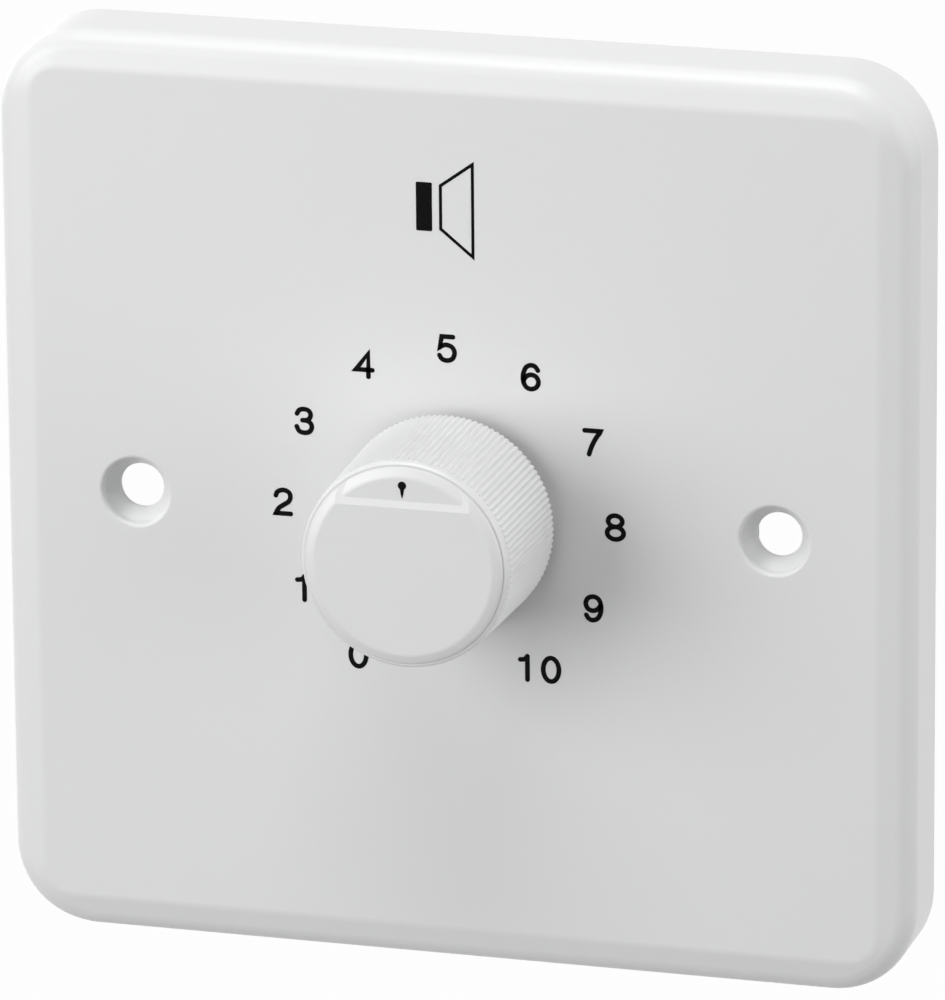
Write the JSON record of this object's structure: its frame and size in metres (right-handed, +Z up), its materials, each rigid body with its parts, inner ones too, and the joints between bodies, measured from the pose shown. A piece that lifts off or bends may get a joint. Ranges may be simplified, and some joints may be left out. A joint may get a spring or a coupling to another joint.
{
  "type": "speaker volume control",
  "caption": "Square wall plate with a stepped rotary knob that sets loudspeaker volume through a tapped transformer behind it.",
  "frame": {"origin": "on the knob's axis in the wall plane, which is the plate's rear rim", "axes": "+Y into the wall along the knob's axis, +Z up, +X to the right as seen from the front"},
  "size_m": [0.086, 0.064, 0.086],
  "materials": {
    "white_plastic": "gloss white moulded plastic",
    "zinc_plated_steel": "bright zinc plating",
    "nickel_plate": "nickel plating",
    "die_cast_zinc": "die cast zinc, as cast",
    "turned_steel": "fine turned steel",
    "spring_steel": "drawn wire",
    "ball_steel": "polished",
    "natural_acetal": "smooth unpigmented plastic",
    "phenolic": "paper laminate",
    "circuit_laminate": "green lacquer on glass laminate",
    "brass": "clean turned or stamped brass",
    "tinned_brass": "tin plating",
    "solder": "wetted solder",
    "green_plastic": "green moulded plastic",
    "core_steel": "varnished sheet edges",
    "black_nylon": "black moulded plastic",
    "copper": "enamelled copper wire",
    "yellow_tape": "polyester tape"
  },
  "bodies": {
    "wall_unit": {"board_screws": "zinc_plated_steel", "bracket_screws": "zinc_plated_steel", "bush_nut": "nickel_plate", "bush_washer": "nickel_plate", "circuit_board": "circuit_laminate", "contact_plate": "phenolic", "contact_studs": "tinned_brass", "e_laminations": "core_steel", "faceplate": "white_plastic", "i_laminations": "core_steel", "mounting_bracket": "zinc_plated_steel", "solder_joints": "solder", "switch_housing": "die_cast_zinc", "terminal_bars": "tinned_brass", "terminal_housing": "green_plastic", "transformer_bobbin": "black_nylon", "transformer_frame": "zinc_plated_steel", "transformer_pins": "tinned_brass", "transformer_winding": "copper", "winding_tape": "yellow_tape"},
    "knob_spindle": {"knob_body": "white_plastic", "knob_cap": "white_plastic", "knob_collet": "brass", "collet_nut": "brass", "switch_spindle": "turned_steel", "retaining_ring": "spring_steel", "detent_rotor": "natural_acetal", "detent_springs": "spring_steel", "detent_balls": "ball_steel", "wiper_carrier": "natural_acetal", "wiper": "brass"},
    "clamp_screw_1": {"terminal_screw_1": "zinc_plated_steel"},
    "clamp_cage_1": {"terminal_cage_1": "nickel_plate"},
    "clamp_screw_2": {"terminal_screw_2": "zinc_plated_steel"},
    "clamp_cage_2": {"terminal_cage_2": "nickel_plate"},
    "clamp_screw_3": {"terminal_screw_3": "zinc_plated_steel"},
    "clamp_cage_3": {"terminal_cage_3": "nickel_plate"},
    "clamp_screw_4": {"terminal_screw_4": "zinc_plated_steel"},
    "clamp_cage_4": {"terminal_cage_4": "nickel_plate"}
  },
  "joints": [
    {"name": "knob_turn", "type": "hinge", "parent": "wall_unit", "child": "knob_spindle", "pos_m": [0, 0, 0], "axis": [0, 1, 0], "range_deg": [-150, 150]},
    {"name": "clamp_screw_turn_1", "type": "hinge", "parent": "wall_unit", "child": "clamp_screw_1", "pos_m": [-0.00762, 0.0245, -0.0252], "axis": [0, -1, 0], "range_deg": [0, 2080.5]},
    {"name": "clamp_cage_lift_1", "type": "slide", "parent": "wall_unit", "child": "clamp_cage_1", "axis": [0, 1, 0], "range_m": [0, 0.0026]},
    {"name": "clamp_screw_turn_2", "type": "hinge", "parent": "wall_unit", "child": "clamp_screw_2", "pos_m": [-0.00254, 0.0245, -0.0252], "axis": [0, -1, 0], "range_deg": [0, 2080.5]},
    {"name": "clamp_cage_lift_2", "type": "slide", "parent": "wall_unit", "child": "clamp_cage_2", "axis": [0, 1, 0], "range_m": [0, 0.0026]},
    {"name": "clamp_screw_turn_3", "type": "hinge", "parent": "wall_unit", "child": "clamp_screw_3", "pos_m": [0.00254, 0.0245, -0.0252], "axis": [0, -1, 0], "range_deg": [0, 2080.5]},
    {"name": "clamp_cage_lift_3", "type": "slide", "parent": "wall_unit", "child": "clamp_cage_3", "axis": [0, 1, 0], "range_m": [0, 0.0026]},
    {"name": "clamp_screw_turn_4", "type": "hinge", "parent": "wall_unit", "child": "clamp_screw_4", "pos_m": [0.00762, 0.0245, -0.0252], "axis": [0, -1, 0], "range_deg": [0, 2080.5]},
    {"name": "clamp_cage_lift_4", "type": "slide", "parent": "wall_unit", "child": "clamp_cage_4", "axis": [0, 1, 0], "range_m": [0, 0.0026]}
  ],
  "couplings": [
    {"joint": "clamp_screw_turn_1", "follows": "clamp_cage_lift_1", "rad_per_m": 13963},
    {"joint": "clamp_screw_turn_2", "follows": "clamp_cage_lift_2", "rad_per_m": 13963},
    {"joint": "clamp_screw_turn_3", "follows": "clamp_cage_lift_3", "rad_per_m": 13963},
    {"joint": "clamp_screw_turn_4", "follows": "clamp_cage_lift_4", "rad_per_m": 13963}
  ]
}
